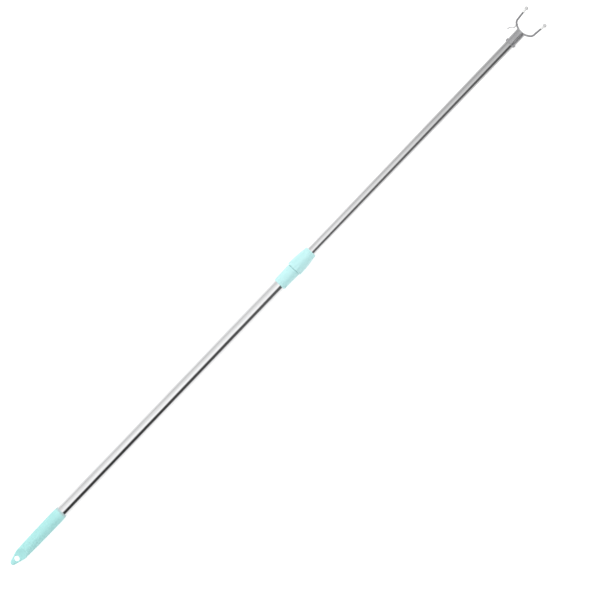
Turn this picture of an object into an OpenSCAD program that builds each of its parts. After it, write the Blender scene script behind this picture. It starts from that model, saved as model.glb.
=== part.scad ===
// Telescopic clothes-reaching pole: two steel tubes, a twist lock, a handle with a
// hanging eye, and a wire fork with a small side hook.
//
// Frame: +X runs along the pole from the handle to the fork, the fork lies flat in a
// plane parallel to XY, and +Z is up. The origin is halfway along the extended pole,
// on the surface that the pole lies on.
// A "station" is a distance in millimetres along the pole from the handle's tip.
// The pole is drawn fully extended, with its twist lock closed.

/* [Pole] */
// Length of the extended pole, handle tip to fork tips
pole_len = 1140; // [1100:1:1180]
// Station where the lower lock collar starts
lock_start = 581; // [560:1:590]

/* [Tubes] */
// Outside diameter of the lower, outer tube
outer_d = 18.3; // [18.2:0.1:18.4]
// Wall thickness of the outer tube
outer_wall = 0.6; // [0.5:0.05:0.6]
// Outside diameter of the upper, inner tube
inner_d = 13.6; // [13.4:0.1:13.6]
// Wall thickness of the inner tube
inner_wall = 0.5; // [0.4:0.05:0.6]

/* [Handle] */
// Length of the handle moulding, tip to mouth
handle_len = 107; // [100:1:112]
// Diameter of the handle near its mouth
handle_d = 21; // [20.8:0.1:22]
// Thickness of the flattened hanging eye
eye_t = 7; // [6:0.5:8]
// Diameter of the hanging hole
hang_hole_d = 8.4; // [7.5:0.1:9]
// Station of the hanging hole's centre
hang_hole_at = 12.3; // [11.5:0.1:13]

/* [Twist lock] */
// Largest diameter of the lock nut, at the seam
nut_d = 25.7; // [25:0.1:26.5]
// Length of the lock nut
nut_len = 36.9; // [36.9:0.1:38]
// Diameter of the lower lock collar at the seam
collar_d = 22.1; // [21.8:0.1:23]
// Length of the lower lock collar
collar_len = 31.5; // [31:0.1:32]
// Number of shallow flutes around the nut's wide end
flute_count = 12; // [8:4:16]
// Number of fingers that the clamp collet is slit into
finger_count = 6; // [4:1:8]

/* [Fork head] */
// Diameter of the plastic socket
socket_d = 14.9; // [14.8:0.1:15.2]
// Distance from the socket's rim to the fork tips
head_len = 60.4; // [60:0.1:61]
// Diameter of the fork wire
wire_d = 3; // [2.8:0.1:3.2]
// Distance between the centres of the two tip balls
tip_spread = 37.9; // [37.4:0.1:38.8]
// Diameter of the balls on the fork tips
ball_d = 6.2; // [5.6:0.1:6.6]
// Diameter of the side hook's wire
hook_wire_d = 2.2; // [2:0.1:2.4]

/* [Hidden] */

round_fn = 96;      // sides used to draw large round parts
wire_fn = 32;       // sides used to draw wires and small parts
run_fit = 0.05;     // radial clearance of a running fit
slip_fit = 0.1;     // radial clearance of a loose fit
bend_swell = 0.03;  // how much thicker a wire is in a bend
bend_lap = 0.2;     // how far a straight run of wire reaches into a bend
end_gap = 0.3;      // axial gap between pieces that move apart

outer_r = outer_d / 2;
outer_bore_r = outer_r - outer_wall;
inner_r = inner_d / 2;
inner_bore_r = inner_r - inner_wall;

// Handle: a blunt tapered nose, a slowly swelling barrel and a rounded mouth
handle_r = handle_d / 2;
nose_r = 4.4;
nose_taper = 16;
shoulder_at = 22;
shoulder_r = 9.4;
barrel_at = 48;
barrel_r = 10;
eye_flat_len = 18.5;
eye_scoop_r = 16;
hang_hole_chamfer = 0.6;
pocket_at = 44;
plug_flange = 2.4;
plug_spigot = 14;
outer_start = pocket_at + plug_flange;
end_ring_len = 3;

// Twist lock stations, from the collar to the nut's top
seam_at = lock_start + collar_len;
tube_stop_at = lock_start + 19;
sleeve_end = seam_at + 18.5;
sleeve_r = 10.4;
collet_shank_r = 8;
collet_start = lock_start + 5;
collet_slit_at = seam_at;
collet_slit_w = 1.2;
cone_start = sleeve_end + 2;
cone_len = 8;
cone_big_r = 8.9;
cone_small_r = 7.5;
cone_slope = (cone_big_r - cone_small_r) / cone_len;
ring_r = 9.6;
ring_start = cone_start + 0.6;
ring_end = cone_start + cone_len + 0.8;
nut_start = seam_at + 0.6;
nut_end = nut_start + nut_len;
nut_r = nut_d / 2;
nut_top_r = 9.5;
nut_taper_power = 1.6;
nut_bore_r = inner_r + 0.2;
wiper_at = ring_end + 2.6;
wiper_len = 2.8;
wiper_groove_r = 8.25;

// Flutes: long shallow cuts that leave flats between crests at the nut's wide end
flute_r = 8;
flute_depth = 0.6;
flute_centre = nut_r - flute_depth + flute_r;
flute_cos = (nut_r * nut_r + flute_centre * flute_centre - flute_r * flute_r)
            / (2 * nut_r * flute_centre);
nick_r = 1;
nick_depth = 0.35;
nick_count = 16;

// The pole lies on two flute crests of its nut, so its axis is this high
axis_z = nut_r * flute_cos;

// Inner section stations at full extension
stop_ring_len = 3;
stop_ring_end = collet_start - end_gap;
stop_ring_start = stop_ring_end - stop_ring_len;
bush_len = 20;
bush_end = stop_ring_start - end_gap;
bush_start = bush_end - bush_len;
inner_start = bush_start - end_gap;
tail_flange = 2.4;
tail_spigot = 12;

// Fork head stations and places, measured back from the fork tips
socket_start = pole_len - head_len;
socket_r = socket_d / 2;
socket_rim_len = 1.4;
socket_rim_r = 8;
socket_pocket_end = socket_start + 15.4;
socket_top = socket_start + 26.6;
spigot_start = socket_start - 10;
rivet_at = socket_start + 3.4;
rivet_r = 1.6;
rivet_head_r = 2.1;
rivet_head_h = 1.5;
wire_r = wire_d / 2;
ball_r = ball_d / 2;
ball_at = pole_len - ball_r;
tip_y = tip_spread / 2;
fork_corner = [pole_len - 28, 16.6];
fork_base = [pole_len - 38.5, 0];
fork_tip = [ball_at, tip_y];
fork_arm_angle = atan2(fork_tip[1] - fork_corner[1], fork_tip[0] - fork_corner[0]);
corner_bend_r = 8;
base_bend_r = 20;
sleeve_r_tip = 2.15;
sleeve_len = 5.6;
hook_r = hook_wire_d / 2;
hook_root = [pole_len - 30.4, 12.6];
hook_heel = [pole_len - 37.4, 12.6];
hook_toe = [pole_len - 40.2, 16.8];
hook_tip = [pole_len - 45, 18.6];
hook_bends = [2.2, 3.5];
weld_r = 1.8;

mint = [0.66, 0.89, 0.87];
light_mint = [0.75, 0.94, 0.94];
steel = [0.78, 0.78, 0.8];
chrome = [0.7, 0.7, 0.72];
nylon = [0.93, 0.92, 0.88];
grey = [0.6, 0.6, 0.6];

// Arc of n steps, as points [station, radius]
function arc(centre, r, from, to, n = 8) =
    [for (i = [0:n]) let (a = from + (to - from) * i / n)
        [centre[0] + r * cos(a), centre[1] + r * sin(a)]];

function unit(v) = v / norm(v);
function heading(a, b) = atan2(b[1] - a[1], b[0] - a[0]);
function turn(a, b, c) =
    let (u = unit(b - a), v = unit(c - b)) atan2(u[0] * v[1] - u[1] * v[0], u * v);
function setback(a, b, c, r) = r * tan(abs(turn(a, b, c)) / 2);

// Places a child drawn along +Z at the handle's tip onto the pole's axis
module on_axis() {
    translate([-pole_len / 2, 0, axis_z]) rotate([0, 90, 0]) children();
}

// Places a child drawn in the plane of the fork, with x as the station
module in_fork_plane() {
    translate([-pole_len / 2, 0, axis_z]) children();
}

// Solid of revolution from an outline of [station, radius] points
module turned(outline) {
    on_axis() rotate_extrude($fn = round_fn) polygon([for (p = outline) [p[1], p[0]]]);
}

// Plain tube between two stations
module tube(from, to, r_in, r_out) {
    turned([[from, r_in], [to, r_in], [to, r_out], [from, r_out]]);
}

// Straight length of wire between two points of the fork plane, with a domed far end if asked
module wire_run(a, b, r, domed = false) {
    h = norm(b - a);
    dome = [for (a = [0:15:75]) [r * cos(a), h + r * sin(a)]];
    translate([a[0], a[1], 0]) rotate([0, 0, heading(a, b)]) rotate([0, 90, 0])
        rotate_extrude($fn = wire_fn)
            polygon(concat([[0, 0], [r, 0]], domed ? dome : [[r, h]],
                           [[0, domed ? h + r * sin(75) : h]]));
}

// Bend of a wire at b, on the way from a to c
module wire_bend(a, b, c, bend_r, r) {
    angle = turn(a, b, c);
    side = angle > 0 ? 1 : -1;
    along = unit(b - a);
    start = b - along * setback(a, b, c, bend_r);
    centre = start + side * bend_r * [-along[1], along[0]];
    from = side > 0 ? heading(a, b) - 90 : heading(b, c) + 90;
    translate([centre[0], centre[1], 0]) rotate([0, 0, from])
        rotate_extrude(angle = abs(angle), $fn = round_fn)
            translate([bend_r, 0]) circle(r = r + bend_swell, $fn = wire_fn);
}

// Wire through a list of points, bent at each inner point to the radius given for it
module bent_wire(points, bends, r, domed = false) {
    last = len(points) - 1;
    for (i = [1:last - 1])
        wire_bend(points[i - 1], points[i], points[i + 1], bends[i - 1], r);
    for (i = [0:last - 1]) {
        a = points[i];
        b = points[i + 1];
        cut_a = i == 0 ? 0 : setback(points[i - 1], a, b, bends[i - 1]) - bend_lap;
        cut_b = i == last - 1 ? 0 : setback(a, b, points[i + 2], bends[i]) - bend_lap;
        wire_run(a + unit(b - a) * cut_a, b - unit(b - a) * cut_b, r, domed && i == last - 1);
    }
}

// The fork's wire, to a given radius
module fork_path(r) {
    end = fork_tip - unit(fork_tip - fork_corner) * 0.6;
    points = [[end[0], -end[1]], [fork_corner[0], -fork_corner[1]], fork_base, fork_corner, end];
    bent_wire(points, [corner_bend_r, base_bend_r, corner_bend_r], r);
}

// Ring of cutters that run along the pole, each centred at a distance from the axis
module long_cutters(from, to, r, centre, count) {
    on_axis() for (i = [0:count - 1]) rotate([0, 0, i * 360 / count])
        translate([centre, 0, from]) cylinder(r = r, h = to - from, $fn = wire_fn * 2);
}

// --- Lower section ---

module handle_grip() {
    outline = concat(
        arc([nose_r, 0], nose_r, 180, 90 + nose_taper),
        arc([shoulder_at, shoulder_r - 8], 8, 90 + nose_taper, 90, 6),
        [[barrel_at, barrel_r]],
        arc([handle_len - 9, handle_r - 9], 9, 95, 76, 5),
        arc([handle_len - 1, outer_r], 1, 60, 0, 4),
        [[pocket_at, outer_r], [pocket_at, 0]]);
    color(mint) difference() {
        turned(outline);
        for (side = [0, 180]) in_fork_plane() rotate([side, 0, 0]) {
            translate([-1, -15, eye_t / 2]) cube([eye_flat_len + 1, 30, 12]);
            translate([eye_flat_len, 15, eye_t / 2 + eye_scoop_r]) rotate([90, 0, 0])
                cylinder(r = eye_scoop_r, h = 30, $fn = round_fn);
        }
        in_fork_plane() translate([hang_hole_at, 0, 0]) {
            cylinder(r = hang_hole_d / 2, h = eye_t + 2, center = true, $fn = round_fn);
            for (side = [0, 180]) rotate([side, 0, 0])
                translate([0, 0, eye_t / 2 - hang_hole_chamfer])
                    cylinder(r1 = hang_hole_d / 2, r2 = hang_hole_d / 2 + 2 * hang_hole_chamfer,
                             h = 2 * hang_hole_chamfer, $fn = round_fn);
        }
    }
}

module handle_end_ring() {
    color(light_mint) turned(concat(
        [[handle_len, outer_r], [handle_len, outer_r + 0.75]],
        arc([handle_len + end_ring_len - 0.6, outer_r + 0.15], 0.6, 90, 0, 4),
        [[handle_len + end_ring_len, outer_r]]));
}

module outer_tube() {
    color(steel) tube(outer_start, tube_stop_at, outer_bore_r, outer_r);
}

module tube_end_plug() {
    color(nylon) turned([
        [pocket_at, 0], [pocket_at, outer_r], [outer_start, outer_r],
        [outer_start, outer_bore_r], [outer_start + plug_spigot - 1.5, outer_bore_r],
        [outer_start + plug_spigot, outer_bore_r - 0.6],
        [outer_start + plug_spigot, outer_bore_r - 2], [outer_start + 2, outer_bore_r - 2],
        [outer_start + 2, 0]]);
}

module lock_body() {
    collar_r = collar_d / 2;
    color(light_mint) difference() {
        turned(concat(
            [[lock_start, outer_r]],
            arc([lock_start + 1.5, outer_r - 0.2], 1.5, 170, 90, 6),
            [[lock_start + 3, collar_r - 0.5], [seam_at - 0.6, collar_r],
             [seam_at, collar_r - 0.4], [seam_at, sleeve_r],
             [sleeve_end - 0.6, sleeve_r], [sleeve_end, sleeve_r - 0.6],
             [sleeve_end, collet_shank_r], [tube_stop_at, collet_shank_r],
             [tube_stop_at, outer_r]]));
        long_cutters(lock_start - 1, lock_start + 8, nick_r,
                     collar_r - 0.45 - nick_depth + nick_r, nick_count);
    }
}

module clamp_collet() {
    bore_r = inner_r + run_fit;
    color(nylon) difference() {
        turned([
            [collet_start, bore_r + 0.4], [collet_start, outer_bore_r - run_fit],
            [tube_stop_at - 0.2, outer_bore_r - run_fit],
            [tube_stop_at - 0.2, collet_shank_r - run_fit],
            [sleeve_end + 0.3, collet_shank_r - run_fit],
            [cone_start - 0.8, cone_big_r], [cone_start, cone_big_r],
            [cone_start + cone_len, cone_small_r], [cone_start + cone_len, bore_r],
            [collet_start + 0.4, bore_r]]);
        on_axis() for (i = [0:finger_count - 1]) rotate([0, 0, i * 360 / finger_count])
            translate([0, -collet_slit_w / 2, collet_slit_at])
                cube([12, collet_slit_w, 30]);
    }
}

// --- Lock nut and the ring that it drives along the pole ---

module squeeze_ring() {
    color(nylon) turned([
        [ring_start, cone_big_r - 0.6 * cone_slope + 0.08],
        [ring_end, cone_small_r - 0.8 * cone_slope + 0.08],
        [ring_end, ring_r - 0.3], [ring_end - 0.3, ring_r],
        [ring_start + 0.3, ring_r], [ring_start, ring_r - 0.3]]);
}

module lock_nut() {
    steps = 14;
    taper_start = nut_start + 0.6;
    taper_end = nut_end - 0.8;
    thread_end = sleeve_end + 1.6;
    color(light_mint) difference() {
        turned(concat(
            [[nut_start, sleeve_r + run_fit], [nut_start, nut_r - 0.5]],
            [for (i = [0:steps]) let (t = i / steps)
                [taper_start + (taper_end - taper_start) * t,
                 nut_r - (nut_r - nut_top_r) * pow(t, nut_taper_power)]],
            arc([nut_end - 0.8, nut_top_r - 0.8], 0.8, 75, 0, 4),
            [[nut_end, nut_bore_r + 0.4], [nut_end - 0.4, nut_bore_r],
             [wiper_at + wiper_len, nut_bore_r], [wiper_at + wiper_len, wiper_groove_r],
             [wiper_at, wiper_groove_r], [wiper_at, nut_bore_r],
             [ring_end + 0.1, nut_bore_r], [ring_end + 0.1, ring_r + slip_fit],
             [thread_end, ring_r + slip_fit], [thread_end, sleeve_r + run_fit]]));
        long_cutters(nut_start - 1, nut_end, flute_r, flute_centre, flute_count);
        long_cutters(nut_end - 7, nut_end + 1, nick_r,
                     nut_top_r + 0.35 - nick_depth + nick_r, nick_count);
    }
}

module nut_wiper_ring() {
    lip = inner_r + run_fit;
    color(grey) turned([
        [wiper_at, wiper_groove_r], [wiper_at, lip + 0.6],
        [wiper_at + 0.9, lip], [wiper_at + wiper_len - 0.9, lip],
        [wiper_at + wiper_len, lip + 0.6], [wiper_at + wiper_len, wiper_groove_r]]);
}

// --- Upper section ---

module guide_bush() {
    outside = outer_bore_r - slip_fit;
    color(nylon) difference() {
        turned([
            [bush_start, inner_r + run_fit], [bush_start, outside - 0.5],
            [bush_start + 1, outside], [bush_end - 1, outside], [bush_end, outside - 0.5],
            [bush_end, inner_r + run_fit]]);
        on_axis() translate([0, -0.75, bush_start - 1]) cube([12, 1.5, bush_len + 2]);
    }
}

module inner_tube() {
    color(steel) difference() {
        tube(inner_start, socket_pocket_end, inner_bore_r, inner_r);
        in_fork_plane() translate([rivet_at, 0, 0]) rotate([90, 0, 0])
            cylinder(r = rivet_r, h = 20, center = true, $fn = wire_fn);
    }
}

module tail_plug() {
    flange_r = outer_bore_r - 0.4;
    color(nylon) turned([
        [inner_start - tail_flange, 0], [inner_start - tail_flange, flange_r - 0.8],
        [inner_start - tail_flange + 0.8, flange_r], [inner_start, flange_r],
        [inner_start, inner_bore_r], [inner_start + tail_spigot - 1, inner_bore_r],
        [inner_start + tail_spigot, inner_bore_r - 0.5],
        [inner_start + tail_spigot, inner_bore_r - 1.8], [inner_start + 1, inner_bore_r - 1.8],
        [inner_start + 1, 0]]);
}

module stop_ring() {
    color(steel) tube(stop_ring_start, stop_ring_end, inner_r, inner_r + 1.1);
}

module head_socket() {
    core_r = inner_bore_r - 2;
    outline = concat(
        [[socket_start, inner_r]],
        arc([socket_start + socket_rim_len / 2, socket_rim_r - 0.5], 0.5, 150, 30, 4),
        [[socket_start + socket_rim_len + 0.3, socket_r],
         [socket_pocket_end + 2, socket_r]],
        arc([socket_top - 1.2, socket_r - 1.5], 1.2, 90, 0, 6),
        [[socket_top, 0], [socket_pocket_end + 2, 0], [socket_pocket_end + 2, core_r],
         [spigot_start, core_r], [spigot_start, inner_bore_r - 0.5],
         [spigot_start + 1, inner_bore_r], [socket_pocket_end, inner_bore_r],
         [socket_pocket_end, inner_r]]);
    color(grey) difference() {
        turned(outline);
        in_fork_plane() {
            fork_path(wire_r);
            translate([rivet_at, 0, 0]) rotate([90, 0, 0])
                cylinder(r = rivet_r, h = 20, center = true, $fn = wire_fn);
        }
    }
}

module socket_rivet() {
    color(steel) in_fork_plane() translate([rivet_at, 0, 0]) {
        rotate([90, 0, 0]) cylinder(r = rivet_r, h = 2 * socket_r, center = true, $fn = wire_fn);
        for (side = [-90, 90]) rotate([side, 0, 0]) translate([0, 0, socket_r])
            rotate_extrude($fn = wire_fn) polygon(concat(
                [[0, 0], [rivet_head_r, 0], [rivet_head_r, rivet_head_h * 0.4]],
                [for (a = [15:15:75]) [rivet_head_r * cos(a), rivet_head_h * (0.4 + 0.6 * sin(a))]],
                [[0, rivet_head_h * (0.4 + 0.6 * sin(75))]]));
    }
}

module fork_wire() {
    color(chrome) in_fork_plane() fork_path(wire_r);
}

module side_hook() {
    color(chrome) in_fork_plane() {
        bent_wire([hook_root, hook_heel, hook_toe, hook_tip], hook_bends, hook_r, domed = true);
        translate([hook_root[0], hook_root[1], 0]) rotate([0, -90, 0])
            rotate_extrude($fn = wire_fn) polygon([
                [0, -1], [weld_r, -1], [weld_r, 1], [hook_r + 0.3, 2.2], [0, 2.2]]);
    }
}

// A child drawn along +Z from the fork tip's end, placed on one arm of the fork
module on_fork_arm(side) {
    in_fork_plane() translate([fork_tip[0], side * fork_tip[1], 0])
        rotate([0, 0, side * fork_arm_angle]) rotate([0, 90, 0]) children();
}

module tip_sleeve(side) {
    color([0.95, 0.95, 0.93]) on_fork_arm(side) rotate_extrude($fn = wire_fn)
        polygon([[wire_r, -2.2 - sleeve_len], [sleeve_r_tip - 0.2, -2.2 - sleeve_len],
                 [sleeve_r_tip, -1.9 - sleeve_len], [sleeve_r_tip, -2.2], [wire_r, -2.2]]);
}

module tip_ball(side) {
    neck = -2.2;
    neck_angle = acos(neck / ball_r);
    color(grey) on_fork_arm(side) rotate_extrude($fn = round_fn / 2)
        polygon(concat(
            [for (i = [0:14]) let (a = neck_angle * i / 14) [ball_r * sin(a), ball_r * cos(a)]],
            [[wire_r, neck], [wire_r, -0.6], [0, -0.6]]));
}

module left_tip_sleeve() { tip_sleeve(1); }
module right_tip_sleeve() { tip_sleeve(-1); }
module left_tip_ball() { tip_ball(1); }
module right_tip_ball() { tip_ball(-1); }

handle_grip();
handle_end_ring();
outer_tube();
tube_end_plug();
lock_body();
clamp_collet();
squeeze_ring();
lock_nut();
nut_wiper_ring();
guide_bush();
inner_tube();
tail_plug();
stop_ring();
head_socket();
socket_rivet();
fork_wire();
side_hook();
left_tip_sleeve();
right_tip_sleeve();
left_tip_ball();
right_tip_ball();
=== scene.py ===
"""Telescopic reaching pole: detailed pieces, materials, floor, light and camera around the CAD frame.

Lengths are in metres. A "station" is a distance along the pole from the handle's tip. Turned pieces are
given as outlines of (distance along an axis, radius), and a shape function may press a pattern into them.
"""
import math

import bmesh
import bpy
from mathutils import Matrix, Vector


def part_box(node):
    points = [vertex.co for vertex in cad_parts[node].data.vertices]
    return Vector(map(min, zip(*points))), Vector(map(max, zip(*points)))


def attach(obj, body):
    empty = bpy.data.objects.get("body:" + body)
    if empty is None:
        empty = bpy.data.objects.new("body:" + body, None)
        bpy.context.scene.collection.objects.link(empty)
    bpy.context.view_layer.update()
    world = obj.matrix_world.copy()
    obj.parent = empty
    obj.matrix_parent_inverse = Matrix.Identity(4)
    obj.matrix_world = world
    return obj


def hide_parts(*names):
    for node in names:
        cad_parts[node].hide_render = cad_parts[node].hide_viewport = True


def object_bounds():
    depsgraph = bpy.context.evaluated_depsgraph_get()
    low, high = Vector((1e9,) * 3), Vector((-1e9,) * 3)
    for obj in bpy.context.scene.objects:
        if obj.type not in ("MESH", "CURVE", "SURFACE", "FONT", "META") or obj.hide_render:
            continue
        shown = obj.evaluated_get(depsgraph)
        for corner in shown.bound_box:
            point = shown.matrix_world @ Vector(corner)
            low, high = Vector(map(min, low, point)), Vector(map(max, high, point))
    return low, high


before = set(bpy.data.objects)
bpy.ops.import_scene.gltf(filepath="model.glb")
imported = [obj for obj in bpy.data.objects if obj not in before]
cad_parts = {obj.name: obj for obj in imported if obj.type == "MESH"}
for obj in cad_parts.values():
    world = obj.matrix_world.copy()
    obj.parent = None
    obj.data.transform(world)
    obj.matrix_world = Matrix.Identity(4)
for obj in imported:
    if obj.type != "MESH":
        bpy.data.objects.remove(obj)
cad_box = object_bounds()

MM = 0.001
TAU = 2 * math.pi

# ---------------------------------------------------------------- places, from the frame

BOXES = {node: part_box(node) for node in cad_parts}


def node_span(node):
    """Where a CAD node starts and ends along the pole."""
    low, high = BOXES[node]
    return low.x, high.x


def node_radius(node):
    """Half of a CAD node's width across the pole."""
    low, high = BOXES[node]
    return (high.y - low.y) / 2


TIP_X = node_span("handle_grip")[0]
END_X = cad_box[1].x
AXIS_Z = (BOXES["outer_tube"][0].z + BOXES["outer_tube"][1].z) / 2
OUTER_R = node_radius("outer_tube")
INNER_R = node_radius("inner_tube")
OUTER_WALL = 0.6 * MM
INNER_WALL = 0.5 * MM
# The CAD wire is this much thicker in its bends
BEND_SWELL = 0.03 * MM
WIRE_R = (BOXES["fork_wire"][1].z - BOXES["fork_wire"][0].z) / 2 - BEND_SWELL


# ---------------------------------------------------------------- outlines and paths

def spaced(start, end, steps):
    """Evenly spaced values from start to end."""
    return [start + (end - start) * i / steps for i in range(steps + 1)]


def line(first, last, steps):
    """Points of an outline along a straight run."""
    return list(zip(spaced(first[0], last[0], steps), spaced(first[1], last[1], steps)))


def arc(centre_x, centre_r, radius, start, end, steps=8):
    """Points of an outline along an arc, with its angles in degrees."""
    angles = [math.radians(degrees) for degrees in spaced(start, end, steps)]
    return [(centre_x + radius * math.cos(a), centre_r + radius * math.sin(a)) for a in angles]


def rounded_path(corners, bends, steps=14):
    """Points in the XY plane along straight runs joined by arcs, with a radius for each inner corner."""
    path = [Vector(corners[0])]
    for before, corner, after, bend in zip(corners, corners[1:], corners[2:], bends):
        before, corner, after = Vector(before), Vector(corner), Vector(after)
        u, v = (corner - before).normalized(), (after - corner).normalized()
        turn = math.atan2(u.x * v.y - u.y * v.x, u.dot(v))
        side = 1 if turn > 0 else -1
        start = corner - u * bend * math.tan(abs(turn) / 2)
        centre = start + side * bend * Vector((-u.y, u.x))
        arm = start - centre
        for a in spaced(0, turn, steps):
            spun = Vector((arm.x * math.cos(a) - arm.y * math.sin(a),
                           arm.x * math.sin(a) + arm.y * math.cos(a)))
            path.append(centre + spun)
    path.append(Vector(corners[-1]))
    return path


def smooth_min(a, b, k):
    """The smaller of a and b, with the corner between them rounded over a length k."""
    h = max(k - abs(a - b), 0) / k
    return min(a, b) - h * h * k / 4


def ease(t):
    """0 below 0, 1 above 1, smooth between."""
    t = min(max(t, 0), 1)
    return t * t * (3 - 2 * t)


def turned(x, r, angle):
    """The point of a plain turned piece at a distance along its axis, a radius and an angle."""
    return x, r * math.cos(angle), r * math.sin(angle)


# ---------------------------------------------------------------- mesh tools

TOUCHING = 1e-7
# Angles in degrees, and how far a wire's dome stands out, as a share of its radius
SHARP_EDGE = 38
SHARP_WIRE_EDGE = 60
CAP_ANGLES = (25, 50, 70, 84)
DOME_RISE = 0.8


def add_mesh(name, points, faces, material, sharp=SHARP_EDGE):
    """A mesh object with outward normals, smooth except at edges sharper than an angle in degrees."""
    mesh = bpy.data.meshes.new(name)
    mesh.from_pydata(points, [], faces)
    work = bmesh.new()
    work.from_mesh(mesh)
    bmesh.ops.remove_doubles(work, verts=work.verts, dist=TOUCHING)
    bmesh.ops.recalc_face_normals(work, faces=work.faces)
    if work.calc_volume(signed=True) < 0:
        bmesh.ops.reverse_faces(work, faces=work.faces)
    work.to_mesh(mesh)
    work.free()
    mesh.shade_smooth()
    mesh.set_sharp_from_angle(angle=math.radians(sharp))
    mesh.materials.append(material)
    made = bpy.data.objects.new(name, mesh)
    bpy.context.scene.collection.objects.link(made)
    return made


def band(first, second):
    """Faces between two rings of point numbers, where a ring on the axis is a single point."""
    if len(first) == 1 and len(second) == 1:
        return []
    faces = []
    count = max(len(first), len(second))
    for i in range(count):
        j = (i + 1) % count
        if len(first) == 1:
            faces.append((first[0], second[i], second[j]))
        elif len(second) == 1:
            faces.append((first[i], second[0], first[j]))
        else:
            faces.append((first[i], second[i], second[j], first[j]))
    return faces


def revolve(name, outline, material, segments=96, shape=turned, place=None):
    """Turns an outline about the local X axis. It closes on itself unless both its ends are on the axis.

    shape(x, r, angle) gives the point (x, y, z) in place of the plain turned one.
    """
    place = place or Matrix.Translation((0, 0, AXIS_Z))
    points, rings = [], []
    for x, r in outline:
        if r < TOUCHING:
            rings.append([len(points)])
            points.append(place @ Vector((x, 0, 0)))
        else:
            rings.append(range(len(points), len(points) + segments))
            points += [place @ Vector(shape(x, r, TAU * i / segments)) for i in range(segments)]
    pairs = list(zip(rings, rings[1:]))
    if len(rings[0]) > 1 or len(rings[-1]) > 1:
        pairs.append((rings[-1], rings[0]))
    faces = [face for pair in pairs for face in band(*pair)]
    return add_mesh(name, points, faces, material)


def wire_cap(section, way, domed):
    """The shrinking sections that close a wire's end: way is -1 at its start and 1 at its end."""
    point, along, radius = section
    cap = []
    for angle in map(math.radians, CAP_ANGLES):
        if domed:
            outward = along * way * radius * DOME_RISE * math.sin(angle)
            cap.append((point + outward, along, radius * math.cos(angle)))
        else:
            cap.append((point, along, radius * (1 - angle / (math.pi / 2))))
    return cap


def wire(name, path, radius, material, sides=28, domes=(True, True)):
    """A round wire along a path in the plane of the fork, with domed or flat ends."""
    sections = []
    for i, point in enumerate(path):
        ahead = path[min(i + 1, len(path) - 1)] - path[max(i - 1, 0)]
        sections.append((point, ahead.normalized(), radius))
    start_cap = wire_cap(sections[0], -1, domes[0])
    end_cap = wire_cap(sections[-1], 1, domes[1])
    points, rings = [], []
    for point, along, r in start_cap[::-1] + sections + end_cap:
        across = Vector((-along.y, along.x, 0))
        rings.append(range(len(points), len(points) + sides))
        for i in range(sides):
            a = TAU * i / sides
            offset = across * r * math.cos(a) + Vector((0, 0, r * math.sin(a)))
            points.append(Vector((point.x, point.y, AXIS_Z)) + offset)
    faces = [face for pair in zip(rings, rings[1:]) for face in band(*pair)]
    faces += [tuple(rings[0]), tuple(rings[-1])]
    return add_mesh(name, points, faces, material, SHARP_WIRE_EDGE)


def cut(piece, cutter):
    """Takes the cutter's volume out of a piece and deletes the cutter."""
    carve = piece.modifiers.new("cut", "BOOLEAN")
    carve.operation = "DIFFERENCE"
    carve.solver = "EXACT"
    carve.object = cutter
    graph = bpy.context.evaluated_depsgraph_get()
    mesh = bpy.data.meshes.new_from_object(piece.evaluated_get(graph))
    piece.modifiers.clear()
    piece.data = mesh
    mesh.set_sharp_from_angle(angle=math.radians(SHARP_EDGE))
    bpy.data.objects.remove(cutter)


def settle(piece, body, slot, *nodes):
    """Puts a finished piece on its body and hides the CAD nodes that it stands for. Its slot is not used.
    """
    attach(piece, body)
    if nodes:
        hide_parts(*nodes)


# ---------------------------------------------------------------- material tools

class Nodes:
    """Short calls for the nodes of a material or of the world."""

    def __init__(self, tree):
        self.tree = tree

    def feed(self, socket, value):
        """Sets a socket to a number or an RGB triple, or links it to another socket."""
        if isinstance(value, tuple):
            socket.default_value = (*value, 1)
        elif isinstance(value, (int, float)):
            socket.default_value = value
        else:
            self.tree.links.new(value, socket)

    def axes(self, vector):
        """The X, Y and Z parts of a vector."""
        node = self.tree.nodes.new("ShaderNodeSeparateXYZ")
        self.feed(node.inputs[0], vector)
        return node.outputs

    def spread(self, value, low, high, from_low=0.3, from_high=0.7):
        """A value moved from its own range to a new one, and held inside it."""
        node = self.tree.nodes.new("ShaderNodeMapRange")
        self.feed(node.inputs["From Min"], from_low)
        self.feed(node.inputs["From Max"], from_high)
        self.feed(node.inputs["To Min"], low)
        self.feed(node.inputs["To Max"], high)
        self.feed(node.inputs["Value"], value)
        return node.outputs["Result"]

    def blend(self, factor, first, second, kind="MIX"):
        """A colour made from two."""
        node = self.tree.nodes.new("ShaderNodeMix")
        node.data_type = "RGBA"
        node.blend_type = kind
        self.feed(node.inputs["Factor"], factor)
        self.feed(node.inputs[6], first)
        self.feed(node.inputs[7], second)
        return node.outputs[2]

    def maths(self, operation, *values):
        """The result of a Math node on numbers or sockets."""
        node = self.tree.nodes.new("ShaderNodeMath")
        node.operation = operation
        for socket, value in zip(node.inputs, values):
            self.feed(socket, value)
        return node.outputs["Value"]


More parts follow.
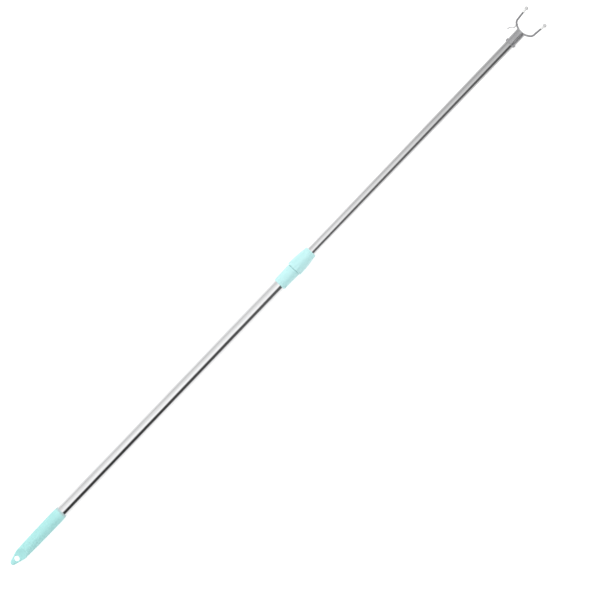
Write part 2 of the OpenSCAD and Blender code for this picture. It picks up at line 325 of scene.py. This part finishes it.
class Shader(Nodes):
    """A Principled material, with its patterns in the object's own coordinates."""

    def __init__(self, name, **sockets):
        self.material = bpy.data.materials.new(name)
        self.material.use_nodes = True
        super().__init__(self.material.node_tree)
        self.bsdf = self.tree.nodes["Principled BSDF"]
        self.coords = self.tree.nodes.new("ShaderNodeTexCoord").outputs["Object"]
        for socket, value in sockets.items():
            self.feed(self.bsdf.inputs[socket.replace("_", " ")], value)

    def noise(self, size, stretch=(1, 1, 1), detail=3):
        """Noise with lumps of about a size in metres, stretched along the axes."""
        mapping = self.tree.nodes.new("ShaderNodeMapping")
        mapping.inputs["Scale"].default_value = [1 / (size * s) for s in stretch]
        texture = self.tree.nodes.new("ShaderNodeTexNoise")
        self.feed(texture.inputs["Scale"], 1)
        self.feed(texture.inputs["Detail"], detail)
        self.feed(texture.inputs["Roughness"], 0.55)
        self.feed(mapping.inputs["Vector"], self.coords)
        self.feed(texture.inputs["Vector"], mapping.outputs["Vector"])
        return texture.outputs["Fac"]

    def edges(self):
        """0 on flat surface, 1 on convex edges."""
        pointiness = self.tree.nodes.new("ShaderNodeNewGeometry").outputs["Pointiness"]
        return self.spread(pointiness, 0, 1, 0.5, 0.56)

    def along_pole(self, start, end):
        """0 at one place along the pole and before it, 1 at another and past it."""
        return self.spread(self.axes(self.coords)["X"], 0, 1, start, end)

    def colour(self, value):
        self.feed(self.bsdf.inputs["Base Color"], value)

    def roughness(self, value):
        self.feed(self.bsdf.inputs["Roughness"], value)

    def bump(self, *layers):
        """Bump from (height, depth in metres) layers, one over another."""
        normal = None
        for height, depth in layers:
            node = self.tree.nodes.new("ShaderNodeBump")
            self.feed(node.inputs["Strength"], 1)
            self.feed(node.inputs["Distance"], depth)
            self.feed(node.inputs["Height"], height)
            if normal:
                self.feed(node.inputs["Normal"], normal)
            normal = node.outputs["Normal"]
        self.feed(self.bsdf.inputs["Normal"], normal)


# ---------------------------------------------------------------- materials

def moulded_plastic(name, main, deep, worn, grain=0.5 * MM, grain_depth=0.01 * MM, rough=(0.34, 0.48),
                    **sockets):
    """Moulded plastic: cloudy pigment, a spark-eroded grain, and paler worn edges."""
    shader = Shader(name, IOR=1.49, **sockets)
    cloud = shader.noise(9 * MM, (2.5, 1, 1))
    speck = shader.spread(shader.noise(0.6 * MM, detail=2), 0, 1, 0.55, 0.75)
    pigment = shader.blend(shader.spread(cloud, 0, 1), main, deep)
    pigment = shader.blend(shader.maths("MULTIPLY", speck, 0.25), pigment, worn)
    scuffs = shader.maths("MULTIPLY", shader.edges(), shader.spread(shader.noise(3 * MM), 0.2, 0.9))
    shader.colour(shader.blend(scuffs, pigment, worn))
    shader.roughness(shader.spread(shader.noise(5 * MM), *rough))
    shader.bump((shader.noise(grain, detail=2), grain_depth), (cloud, 0.02 * MM))
    return shader.material


def drawn_steel(name, main, dark, rough=(0.09, 0.2), painted_shade_tone=1.0):
    """Bright drawn steel: fine lines along the pole, faint stains and small scratches.

    painted_shade_tone is how much of its brightness is left at the head end: painted shade that stands in
    for the dimmer reflections there.
    """
    shader = Shader(name, Metallic=1.0)
    lines = shader.noise(0.35 * MM, (160, 1, 1), detail=4)
    stains = shader.spread(shader.noise(26 * MM, (2, 1, 1)), 0, 1, 0.5, 0.8)
    scratches = shader.spread(shader.noise(0.2 * MM, (14, 1, 5), detail=1), 0, 1, 0.68, 0.74)
    tone = shader.blend(shader.spread(lines, 0, 1, 0.35, 0.65), main, dark)
    tone = shader.blend(shader.maths("MULTIPLY", stains, 0.5), tone, dark)
    # Painted shade: the colour darkens towards the head end in place of the dimmer reflections there
    if painted_shade_tone < 1:
        deep = tuple(channel * painted_shade_tone for channel in main)
        tone = shader.blend(shader.along_pole(0.1, END_X - 0.06), tone, deep)
    shader.colour(tone)
    shader.roughness(shader.spread(lines, *rough))
    shader.bump((lines, 0.004 * MM), (scratches, 0.003 * MM))
    return shader.material


def plated_wire(name, main, dark):
    """Bright plated wire, drawn along its length and a little clouded."""
    shader = Shader(name, Metallic=1.0)
    cloud = shader.noise(2.2 * MM)
    shader.colour(shader.blend(shader.spread(cloud, 0, 1), main, dark))
    shader.roughness(shader.spread(cloud, 0.12, 0.28))
    shader.bump((shader.noise(0.25 * MM, (6, 1, 1), detail=2), 0.006 * MM))
    return shader.material


def milky_vinyl(name):
    """Milky, slightly see-through vinyl with fine flow lines."""
    shader = Shader(name, IOR=1.5, Transmission_Weight=0.15, Coat_Weight=0.2)
    flow = shader.noise(1.2 * MM, (3, 1, 1))
    shader.colour(shader.blend(shader.spread(flow, 0, 1), (0.88, 0.88, 0.87), (0.8, 0.81, 0.8)))
    shader.roughness(shader.spread(flow, 0.18, 0.34))
    shader.bump((shader.noise(0.8 * MM, detail=1), 0.006 * MM))
    return shader.material


def soft_seal(name):
    """Grey elastomer with a dull, slightly dusty surface."""
    shader = Shader(name, IOR=1.45, Sheen_Weight=0.1)
    dust = shader.noise(1.1 * MM)
    shader.colour(shader.blend(shader.spread(dust, 0, 1), (0.2, 0.21, 0.22), (0.33, 0.34, 0.35)))
    shader.roughness(shader.spread(dust, 0.6, 0.82))
    shader.bump((shader.noise(0.3 * MM), 0.03 * MM))
    return shader.material


MINT_GRIP = moulded_plastic("mint_grip", (0.375, 0.715, 0.7), (0.335, 0.67, 0.655), (0.52, 0.83, 0.81),
                            grain=0.8 * MM, grain_depth=0.04 * MM, rough=(0.42, 0.56))
MINT_LOCK = moulded_plastic("mint_lock", (0.475, 0.775, 0.775), (0.435, 0.735, 0.735), (0.61, 0.88, 0.87),
                            grain_depth=0.003 * MM, rough=(0.26, 0.38), Coat_Weight=0.15)
MINT_PALE = moulded_plastic("mint_pale", (0.42, 0.58, 0.585), (0.37, 0.53, 0.535), (0.54, 0.69, 0.69),
                            rough=(0.3, 0.4))
SOCKET_GREY = moulded_plastic("socket_grey", (0.35, 0.35, 0.36), (0.3, 0.3, 0.31), (0.48, 0.48, 0.48),
                              rough=(0.24, 0.34), Metallic=0.7)
BALL_GREY = moulded_plastic("ball_grey", (0.5, 0.5, 0.505), (0.43, 0.43, 0.435), (0.68, 0.68, 0.68),
                            rough=(0.22, 0.34), Coat_Weight=0.3)
NYLON = moulded_plastic("natural_nylon", (0.8, 0.79, 0.73), (0.72, 0.71, 0.65), (0.9, 0.89, 0.85),
                        rough=(0.35, 0.5))
OUTER_STEEL = drawn_steel("outer_steel", (0.72, 0.72, 0.725), (0.6, 0.6, 0.61))
# The inner tube's colour darkens towards the head end as painted shade
INNER_STEEL_SHADED = drawn_steel("inner_steel_painted_shade", (0.68, 0.68, 0.685), (0.56, 0.56, 0.57), painted_shade_tone=0.55)
RIVET_STEEL = drawn_steel("rivet_steel", (0.5, 0.5, 0.51), (0.36, 0.36, 0.37), rough=(0.2, 0.36))
# One chrome in two copies: the fork's and weld's copy is darkened as painted shade, and the hook's copy is
# lightened as a painted highlight
SHADED_WIRE_CHROME = plated_wire("wire_chrome_painted_shade", (0.33, 0.33, 0.34), (0.22, 0.22, 0.23))
LIT_HOOK_CHROME = plated_wire("hook_chrome_painted_highlight", (0.82, 0.82, 0.83), (0.68, 0.68, 0.69))
SLEEVE_VINYL = milky_vinyl("sleeve_vinyl")
SEAL_RUBBER = soft_seal("seal_rubber")


# ---------------------------------------------------------------- handle

HANDLE_LEN = node_span("handle_grip")[1] - TIP_X
HANDLE_R = node_radius("handle_grip")
NOSE_R = 4.4 * MM
# In degrees
NOSE_TAPER = 16
SHOULDER_AT, SHOULDER_R, SHOULDER_BEND = 22 * MM, 9.4 * MM, 8 * MM
BARREL_AT, BARREL_R = 48 * MM, 10 * MM
POCKET_AT = 44 * MM
MOUTH_AT = 105 * MM
MOUTH_BEND, MOUTH_LIP = 9 * MM, 1 * MM
EYE_FLAT = 18.5 * MM
EYE_SCOOP_R = 16 * MM
EYE_HALF = 3.5 * MM
EYE_EDGE = 1.2 * MM
HOLE_AT = 12.3 * MM
HOLE_R = 4.2 * MM
HOLE_CHAMFER = 0.6 * MM
STUD_HEIGHT = 0.3 * MM
STUD_PITCH = 4.6 * MM
STUD_COUNT = 22
STUD_START, STUD_END = 28 * MM, 98 * MM
STUD_FADE_IN, STUD_FADE_OUT = 4 * MM, 3 * MM
# A stud's half sizes, as shares of the spacing along and around, and how steep its sides are
STUD_HALF_LENGTH, STUD_HALF_WIDTH, STUD_STEEPNESS = 0.42, 0.34, 1.6
STUD_RING_STEP = 0.45 * MM


def handle_shape(x, r, angle):
    """Flattens the handle's nose into the hanging eye and raises the studs of the grip."""
    station = x - TIP_X
    along = (station - STUD_START) / STUD_PITCH
    row = math.floor(along)
    if STUD_START < station < STUD_END and r > OUTER_R + 0.2 * MM:
        turn = angle / TAU * STUD_COUNT + 0.5 * (row % 2)
        u = (along - row - 0.5) / STUD_HALF_LENGTH
        v = (turn - math.floor(turn) - 0.5) / STUD_HALF_WIDTH
        reach = u * u + v * v
        r -= STUD_HEIGHT * (1 - ease(STUD_STEEPNESS * (1 - reach)))
    elif OUTER_R < r and station < MOUTH_AT:
        fade = ease((STUD_START - station) / STUD_FADE_IN) + ease((station - STUD_END) / STUD_FADE_OUT)
        r -= STUD_HEIGHT * (1 - min(fade, 1))
    x, y, z = turned(x, r, angle)
    past = max(station - EYE_FLAT, 0)
    if past < EYE_SCOOP_R:
        limit = EYE_HALF + EYE_SCOOP_R - math.sqrt(EYE_SCOOP_R ** 2 - past ** 2)
        z = math.copysign(smooth_min(abs(z), limit, EYE_EDGE), z)
    return x, y, z


def handle_outline():
    """The handle from the tip of its nose to its mouth, and back along the pocket for the tube."""
    nose = arc(NOSE_R, 0, NOSE_R, 180, 90 + NOSE_TAPER, 12)
    shoulder = arc(SHOULDER_AT, SHOULDER_R - SHOULDER_BEND, SHOULDER_BEND, 90 + NOSE_TAPER, 90)
    mouth = (arc(HANDLE_LEN - MOUTH_BEND, HANDLE_R - MOUTH_BEND, MOUTH_BEND, 95, 76, 5)
             + arc(HANDLE_LEN - MOUTH_LIP, OUTER_R, MOUTH_LIP, 60, 0, 5))
    outline = nose + line(nose[-1], shoulder[0], 20)[1:-1] + shoulder
    corners = [shoulder[-1], (BARREL_AT, BARREL_R), mouth[0]]
    for first, last in zip(corners, corners[1:]):
        outline += line(first, last, round((last[0] - first[0]) / STUD_RING_STEP))[1:-1]
    outline += mouth + [(POCKET_AT, OUTER_R), (POCKET_AT, 0)]
    return [(TIP_X + x, r) for x, r in outline]


def make_handle():
    handle = revolve("handle_grip_moulding", handle_outline(), MINT_GRIP, 176, handle_shape)
    reach = EYE_HALF + 1 * MM
    wide = HOLE_R + HOLE_CHAMFER + reach - EYE_HALF
    edge = EYE_HALF - HOLE_CHAMFER
    bore = [(-reach, 0), (-reach, wide), (-edge, HOLE_R), (edge, HOLE_R), (reach, wide), (reach, 0)]
    upright = Matrix.Translation((TIP_X + HOLE_AT, 0, AXIS_Z)) @ Matrix.Rotation(math.pi / 2, 4, "Y")
    cut(handle, revolve("hang_hole_cutter", bore, MINT_GRIP, 64, place=upright))
    settle(handle, "lower_section", "mint_grip", "handle_grip")


def make_handle_ring():
    start, end = node_span("handle_end_ring")
    radius = node_radius("handle_end_ring")
    crown_r, rim_r = 0.25 * MM, 0.6 * MM
    ring = [(start, OUTER_R), (start, radius - 0.1 * MM)]
    ring += arc((start + end) / 2 - 0.3 * MM, radius - crown_r, crown_r, 150, 30, 6)
    ring += arc(end - rim_r, radius - rim_r - 0.05 * MM, rim_r, 80, 0, 6)
    ring += [(end, OUTER_R)]
    settle(revolve("handle_end_ring_trim", ring, MINT_PALE), "lower_section", "mint_lock",
           "handle_end_ring")


# ---------------------------------------------------------------- tubes

DIMPLE_X = TIP_X + 112.6 * MM
DIMPLE_ANGLES = (math.radians(54), math.radians(234))
DIMPLE_R = 1.9 * MM
DIMPLE_DEPTH = 0.5 * MM
DIMPLE_ZONE = 2.25 * MM
TUBE_PARTS = 12


def dimpled(x, r, angle):
    """Presses the two punch marks that keep the handle on into the tube."""
    for at in DIMPLE_ANGLES:
        aside = r * abs((angle - at + math.pi) % TAU - math.pi)
        r -= DIMPLE_DEPTH * ease(1 - math.hypot(x - DIMPLE_X, aside) / DIMPLE_R)
    return turned(x, r, angle)


def tube_outline(start, end, radius, wall, extra):
    """Outline of a tube with deburred ends, with extra rings at some places along it."""
    lip = 0.12 * MM
    bore = radius - wall
    outside = [start + lip, *extra, end - lip]
    return ([(start, bore + lip), (start, radius - lip)] + [(x, radius) for x in outside]
            + [(end, radius - lip), (end, bore + lip)] + [(x, bore) for x in reversed(outside)])


def make_tubes():
    start, end = node_span("outer_tube")
    # Close rings at the punch marks, then wide ones from a quarter of the way along
    extra = spaced(DIMPLE_X - DIMPLE_ZONE, DIMPLE_X + DIMPLE_ZONE, 18)
    extra += spaced(start, end, TUBE_PARTS)[TUBE_PARTS // 4:-1]
    outline = tube_outline(start, end, OUTER_R, OUTER_WALL, extra)
    settle(revolve("outer_tube_drawn", outline, OUTER_STEEL, 144, dimpled), "lower_section", "steel_tube",
           "outer_tube")

    start, end = node_span("inner_tube")
    outline = tube_outline(start, end, INNER_R, INNER_WALL, spaced(start, end, TUBE_PARTS)[1:-1])
    settle(revolve("inner_tube_drawn", outline, INNER_STEEL_SHADED, 112), "upper_section", "steel_tube",
           "inner_tube")


# ---------------------------------------------------------------- twist lock

COLLAR_START, SLEEVE_END = node_span("lock_body")
NUT_START, NUT_END = node_span("lock_nut")
SEAM_X = NUT_START - 0.6 * MM
SLEEVE_R = 10.4 * MM
RING_BORE_R = node_radius("squeeze_ring") + 0.1 * MM
NUT_R = 12.85 * MM
NUT_TOP_R = 9.5 * MM
NUT_EDGE, NUT_TOP_EDGE = 0.6 * MM, 0.8 * MM
NUT_SWEEP = 1.6
FLUTE_R = 8 * MM
FLUTE_COUNT = 12
FLUTE_CENTRE = NUT_R - 0.6 * MM + FLUTE_R
NICK_R = 1 * MM
NICK_COUNT = 16
NICK_DEPTH = 0.4 * MM
NUT_NICK_LEN, COLLAR_NICK_LEN = 7 * MM, 7.5 * MM
NICK_FADE = 2.5 * MM
CUT_EDGE = 0.12 * MM
THREAD_PITCH = 3 * MM
THREAD_DEPTH = 0.45 * MM
# Radii past which a point belongs to the outside of its piece and not to its bore
NUT_SKIN_R = RING_BORE_R + 0.2 * MM
NUT_TOP_SKIN_R = INNER_R + 1.8 * MM
COLLAR_SKIN_R = OUTER_R + 0.5 * MM
SLEEVE_SKIN_R = INNER_R + 2.5 * MM


def cutter_limit(angle, centre, radius, count):
    """How far out the surface may reach between evenly spaced round cutters along the pole."""
    pitch = TAU / count
    off = (angle + pitch / 2) % pitch - pitch / 2
    aside = centre * abs(math.sin(off))
    return centre * math.cos(off) - math.sqrt(radius ** 2 - aside ** 2) if aside < radius else 1.0


def nicked(r, angle, depth):
    """Radius after short grip nicks of a depth have been cut in a surface of radius r."""
    if depth <= 0:
        return r
    return smooth_min(r, cutter_limit(angle, r - depth + NICK_R, NICK_R, NICK_COUNT), CUT_EDGE)


def nut_shape(x, r, angle):
    """Flutes around the nut's wide end and nicks around its top. The bore is left plain."""
    near_top = x > NUT_END - 6 * MM
    if r > NUT_SKIN_R or near_top and r > NUT_TOP_SKIN_R:
        r = smooth_min(r, cutter_limit(angle, FLUTE_CENTRE, FLUTE_R, FLUTE_COUNT), CUT_EDGE)
        r = nicked(r, angle, NICK_DEPTH * ease((NUT_NICK_LEN - (NUT_END - x)) / NICK_FADE))
    return turned(x, r, angle)


def body_shape(x, r, angle):
    """Nicks around the collar's lower end and a screw thread on the sleeve above the seam."""
    if r > COLLAR_SKIN_R:
        r = nicked(r, angle, NICK_DEPTH * ease((COLLAR_NICK_LEN - (x - COLLAR_START)) / NICK_FADE))
    if x > SEAM_X + 0.1 * MM and r > SLEEVE_SKIN_R:
        phase = ((x - SEAM_X) / THREAD_PITCH - angle / TAU) % 1
        r -= THREAD_DEPTH * ease(abs(2 * phase - 1) * 3 - 1) * ease((SLEEVE_END - x) / MM)
    return turned(x, r, angle)


def make_lock_body():
    collar_r, shank_r = node_radius("lock_body"), 8 * MM
    tube_stop = node_span("outer_tube")[1]
    foot_r, seam_edge = 1.5 * MM, 0.5 * MM
    outline = [(COLLAR_START, OUTER_R)]
    outline += arc(COLLAR_START + foot_r, OUTER_R - 0.2 * MM, foot_r, 170, 90)
    outline += line((COLLAR_START + 3 * MM, collar_r - 0.5 * MM), (SEAM_X - 0.6 * MM, collar_r), 44)
    outline += arc(SEAM_X - seam_edge, collar_r - seam_edge, seam_edge, 70, 0, 5)
    outline += line((SEAM_X, SLEEVE_R), (SLEEVE_END - 0.4 * MM, SLEEVE_R), 72)
    outline += [(SLEEVE_END, SLEEVE_R - 0.5 * MM), (SLEEVE_END, shank_r), (tube_stop, shank_r),
                (tube_stop, OUTER_R)]
    settle(revolve("lock_collar_moulding", outline, MINT_LOCK, 192, body_shape), "lower_section",
           "mint_lock", "lock_body")


def make_lock_nut():
    ring_end = node_span("squeeze_ring")[1] + 0.1 * MM
    wiper_start, wiper_end = node_span("nut_wiper_ring")
    groove_r, bore_r = node_radius("nut_wiper_ring"), INNER_R + 0.2 * MM
    thread_r, thread_end = SLEEVE_R + 0.05 * MM, SLEEVE_END + 1.6 * MM
    first, last = NUT_START + NUT_EDGE, NUT_END - NUT_TOP_EDGE
    bevel = 0.4 * MM
    outline = [(NUT_START, thread_r), (NUT_START, NUT_R - NUT_EDGE)]
    outline += arc(first, NUT_R - NUT_EDGE, NUT_EDGE, 165, 100, 5)
    outline += [(first + (last - first) * t, NUT_R - (NUT_R - NUT_TOP_R) * t ** NUT_SWEEP)
                for t in spaced(0, 1, 60)]
    outline += arc(last, NUT_TOP_R - NUT_TOP_EDGE, NUT_TOP_EDGE, 80, 0)
    outline += [(NUT_END, bore_r + bevel), (NUT_END - bevel, bore_r), (wiper_end, bore_r),
                (wiper_end, groove_r), (wiper_start, groove_r), (wiper_start, bore_r),
                (ring_end, bore_r), (ring_end, RING_BORE_R), (thread_end, RING_BORE_R),
                (thread_end, thread_r)]
    settle(revolve("lock_nut_moulding", outline, MINT_LOCK, 192, nut_shape), "lock_nut", "mint_lock",
           "lock_nut")


# ---------------------------------------------------------------- fork head

# The model's ball is a little inside the CAD one
BALL_R = node_radius("left_tip_ball") - 0.02 * MM
TIP_Y = (BOXES["left_tip_ball"][0].y + BOXES["left_tip_ball"][1].y) / 2
FORK_CORNER = Vector((END_X - 28 * MM, 16.6 * MM))
FORK_BASE = Vector((END_X - 38.5 * MM, 0))
FORK_TIP = Vector((END_X - BALL_R, TIP_Y))
CORNER_BEND, BASE_BEND = 8 * MM, 20 * MM
HOOK_WIRE_R = 1.1 * MM
HOOK_ROOT = Vector((END_X - 30.4 * MM, 12.6 * MM))
HOOK_HEEL = Vector((END_X - 37.4 * MM, 12.6 * MM))
HOOK_TOE = Vector((END_X - 40.2 * MM, 16.8 * MM))
HOOK_TIP = Vector((END_X - 45 * MM, 18.6 * MM))
HOOK_BENDS = [2.2 * MM, 3.5 * MM]
SOCKET_R, RIM_R = 7.45 * MM, 8 * MM
SPIGOT_LEN = 10 * MM
RIB_COUNT = 20
RIB_DEPTH = 0.16 * MM
RIVET_HOLE_R = 1.62 * MM


def socket_shape(x, r, angle):
    """Fine grip ribs along the socket, between its rivet and its shoulder."""
    start, end = node_span("head_socket")
    ribbed = ease((x - start - 16 * MM) / MM) * ease((end - 4 * MM - x) / MM)
    if r > INNER_R + 0.3 * MM:
        r -= RIB_DEPTH * ribbed * ease(0.5 + 0.9 * math.cos(angle * RIB_COUNT))
    return turned(x, r, angle)


def fork_path():
    """Centre line of the fork wire, from one prong's tip to the other's."""
    end = FORK_TIP - (FORK_TIP - FORK_CORNER).normalized() * 0.8 * MM
    mirrored = [Vector((p.x, -p.y)) for p in (end, FORK_CORNER)]
    corners = [*mirrored, FORK_BASE, FORK_CORNER, end]
    return rounded_path(corners, [CORNER_BEND, BASE_BEND, CORNER_BEND], 18)


def make_socket():
    spigot_start, top = node_span("head_socket")
    start = spigot_start + SPIGOT_LEN
    pocket_end = node_span("inner_tube")[1]
    bore_r = INNER_R - INNER_WALL
    core_r, core_end = bore_r - 2 * MM, pocket_end + 2 * MM
    rim_edge, shoulder_r = 0.5 * MM, 1.2 * MM
    side_end = top - shoulder_r
    outline = [(start, INNER_R)] + arc(start + 0.7 * MM, RIM_R - rim_edge, rim_edge, 150, 30)
    outline += line((start + 1.9 * MM, SOCKET_R), (side_end, SOCKET_R), 50)[:-1]
    outline += arc(side_end, SOCKET_R - shoulder_r, shoulder_r, 90, 0)
    outline += [(top, 0), (core_end, 0), (core_end, core_r), (spigot_start, core_r),
                (spigot_start, bore_r - 0.5 * MM), (spigot_start + 1 * MM, bore_r),
                (pocket_end, bore_r), (pocket_end, INNER_R)]
    socket = revolve("head_socket_moulding", outline, SOCKET_GREY, 160, socket_shape)
    cut(socket, wire("wire_channel_cutter", fork_path(), WIRE_R + 0.02 * MM, SOCKET_GREY))
    rivet_start, rivet_end = node_span("socket_rivet")
    reach = 12 * MM
    hole = [(-reach, 0), (-reach, RIVET_HOLE_R), (reach, RIVET_HOLE_R), (reach, 0)]
    across = (Matrix.Translation(((rivet_start + rivet_end) / 2, 0, AXIS_Z))
              @ Matrix.Rotation(math.pi / 2, 4, "Z"))
    cut(socket, revolve("rivet_hole_cutter", hole, SOCKET_GREY, 48, place=across))
    settle(socket, "upper_section", "grey_socket", "head_socket")


def lumpy(x, r, angle):
    """The uneven surface of a weld bead."""
    r *= 1 + 0.07 * math.sin(3 * angle + 1.1) + 0.05 * math.sin(5 * angle + 900 * x)
    return turned(x, r, angle)


def make_fork():
    fork = wire("fork_wire_bent", fork_path(), WIRE_R, SHADED_WIRE_CHROME, domes=(False, False))
    settle(fork, "upper_section", "chrome_wire", "fork_wire")
    hook_path = rounded_path([HOOK_ROOT, HOOK_HEEL, HOOK_TOE, HOOK_TIP], HOOK_BENDS)
    hook = wire("side_hook_bent", hook_path, HOOK_WIRE_R, LIT_HOOK_CHROME, 22, (False, True))
    settle(hook, "upper_section", "chrome_wire", "side_hook")
    bead = [(-1.2 * MM, 0), (-1.1 * MM, 1.2 * MM), (-0.5 * MM, 1.65 * MM), (0.6 * MM, 1.7 * MM),
            (1.5 * MM, 1.45 * MM), (2.2 * MM, 1.2 * MM), (2.3 * MM, 1.0 * MM), (2.3 * MM, 0)]
    backward = (Matrix.Translation((HOOK_ROOT.x, HOOK_ROOT.y, AXIS_Z))
                @ Matrix.Rotation(math.pi, 4, "Z"))
    settle(revolve("hook_weld_bead", bead, SHADED_WIRE_CHROME, 32, lumpy, backward), "upper_section",
           "chrome_wire")


def make_tips():
    """The ball and the sleeve of each prong, drawn along the prong from the ball's centre."""
    arm = FORK_TIP - FORK_CORNER
    neck = -2.2 * MM
    line_r = BALL_R - 0.08 * MM
    ball = [(neck, 0), (neck, WIRE_R + 0.35 * MM)] + arc(0, 0, BALL_R, 132, 102, 5)
    ball += [(0.25 * MM, BALL_R), (0.3 * MM, line_r), (0.5 * MM, line_r)]
    ball += arc(0, 0, BALL_R, 78, 6, 12) + [(BALL_R, 0)]
    length, radius, edge = 5.6 * MM, 2.15 * MM, 0.2 * MM
    start = neck - length
    sleeve = [(start, WIRE_R), (start, radius - edge)]
    sleeve += arc(start + 0.25 * MM, radius - 0.15 * MM, edge, 150, 60, 4)
    sleeve += [(start + length * t, radius - 0.1 * MM * math.sin(t * math.pi))
               for t in spaced(0, 1, 8)[1:-1]]
    sleeve += [(neck, radius - 0.05 * MM), (neck, WIRE_R)]
    for name, side in (("left", 1), ("right", -1)):
        place = (Matrix.Translation((FORK_TIP.x, side * FORK_TIP.y, AXIS_Z))
                 @ Matrix.Rotation(side * math.atan2(arm.y, arm.x), 4, "Z"))
        settle(revolve(f"{name}_tip_bead", ball, BALL_GREY, 56, place=place), "upper_section", "tip_ball",
               f"{name}_tip_ball")
        settle(revolve(f"{name}_sleeve_vinyl", sleeve, SLEEVE_VINYL, 40, place=place), "upper_section",
               "tip_sleeve", f"{name}_tip_sleeve")


# ---------------------------------------------------------------- inner pieces

def dress_inner_pieces():
    """Materials for the CAD pieces that stay as they are."""
    inner = {"tube_end_plug": NYLON, "clamp_collet": NYLON, "squeeze_ring": NYLON, "guide_bush": NYLON,
             "tail_plug": NYLON, "nut_wiper_ring": SEAL_RUBBER, "stop_ring": RIVET_STEEL,
             "socket_rivet": RIVET_STEEL}
    for node, material in inner.items():
        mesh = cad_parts[node].data
        mesh.materials.clear()
        mesh.materials.append(material)


# ---------------------------------------------------------------- floor, light and camera

def make_floor():
    """Bright white paper just under the pole."""
    half, drop = 30, 0.2 * MM
    shader = Shader("floor_paper", Roughness=0.9, Specular_IOR_Level=0.1, Emission_Color=(1, 1, 1),
                    Emission_Strength=0.62)
    shader.colour(shader.blend(shader.spread(shader.noise(0.4), 0, 1), (0.6, 0.6, 0.6), (0.58, 0.58, 0.58)))
    corners = [(-half, -half, -drop), (half, -half, -drop), (half, half, -drop), (-half, half, -drop)]
    add_mesh("floor", corners, [(0, 1, 2, 3)], shader.material)


def make_world():
    """A white studio with a grey wall on one side of the pole and a dark flag on the other.

    Both run along the pole and fade out towards the horizon past its ends, and the flag lets more light
    past towards the head. X, Y and Z here are those of the direction looked in.
    """
    # Degrees from the zenith, towards +Y, and the brightness there
    stops = [(-180, 1.0), (-92, 0.9), (-86, 0.4), (-80, 0.05), (-29, 0.05), (-21, 1.4), (9, 1.36),
             (22, 1.24), (47, 1.06), (77, 0.85), (90, 0.7), (100, 0.8)]
    spill_level, spill_start, spill_end = 0.24, -0.06, 0.02
    fade_start, fade_end = 0.55, 0.9
    horizon = (1.05, 1.05, 1.05)

    world = bpy.data.worlds.new("studio")
    bpy.context.scene.world = world
    world.use_nodes = True
    nodes = Nodes(world.node_tree)
    x, y, z = nodes.axes(nodes.tree.nodes.new("ShaderNodeTexCoord").outputs["Generated"])
    ramp = nodes.tree.nodes.new("ShaderNodeValToRGB")
    nodes.feed(ramp.inputs[0], nodes.spread(nodes.maths("ARCTAN2", y, z), 0, 1, -math.pi, math.pi))
    while len(ramp.color_ramp.elements) > 1:
        ramp.color_ramp.elements.remove(ramp.color_ramp.elements[-1])
    for i, (degrees, level) in enumerate(stops):
        place = (degrees + 180) / 360
        stop = ramp.color_ramp.elements[0] if i == 0 else ramp.color_ramp.elements.new(place)
        stop.position = place
        stop.color = (level, level, level, 1)
    spill = nodes.spread(x, 0, spill_level, spill_start, spill_end)
    walls = nodes.blend(1, ramp.outputs[0], spill, "LIGHTEN")
    past_ends = nodes.spread(nodes.maths("ABSOLUTE", x), 0, 1, fade_start, fade_end)
    background = nodes.tree.nodes["Background"]
    nodes.feed(background.inputs["Strength"], 1)
    nodes.feed(background.inputs["Color"], nodes.blend(past_ends, walls, horizon))


def make_light(name, size, place, watts):
    """A soft box that shines at the middle of the pole and shows neither directly nor as a reflection."""
    data = bpy.data.lights.new(name, "AREA")
    data.shape = "RECTANGLE"
    data.size, data.size_y = size
    data.energy = watts
    light = bpy.data.objects.new(name, data)
    light.location = place
    light.rotation_mode = "QUATERNION"
    light.rotation_quaternion = (-Vector(place)).to_track_quat("-Z", "Y")
    light.visible_camera = False
    light.visible_glossy = False
    bpy.context.scene.collection.objects.link(light)


def make_camera():
    """Looks straight down on the pole, which is drawn climbing to the right."""
    slope = math.radians(46.24)
    view_width = 0.9
    # How far the view's middle is from the pole's, in the picture's own right and up
    shift_right, shift_up = 38.8 * MM, -15.15 * MM
    middle = (cad_box[0] + cad_box[1]) / 2
    right = Vector((math.cos(slope), -math.sin(slope), 0))
    up = Vector((math.sin(slope), math.cos(slope), 0))
    data = bpy.data.cameras.new("camera")
    data.lens = 200
    data.sensor_width = 36
    data.clip_end = 100
    height = view_width * data.lens / data.sensor_width
    camera = bpy.data.objects.new("camera", data)
    camera.location = Vector((middle.x, 0, AXIS_Z + height)) + shift_right * right + shift_up * up
    camera.rotation_euler = (0, 0, -slope)
    bpy.context.scene.collection.objects.link(camera)
    bpy.context.scene.camera = camera


make_camera()
make_handle()
make_handle_ring()
make_tubes()
make_lock_body()
make_lock_nut()
make_socket()
make_fork()
make_tips()
dress_inner_pieces()
make_floor()
make_world()
make_light("key_box", (3, 1.2), (0, 0.9, 2.2), 12)
make_light("fill_box", (3, 0.8), (0, -1.8, 1.3), 8)
bpy.context.scene.view_settings.view_transform = "Standard"
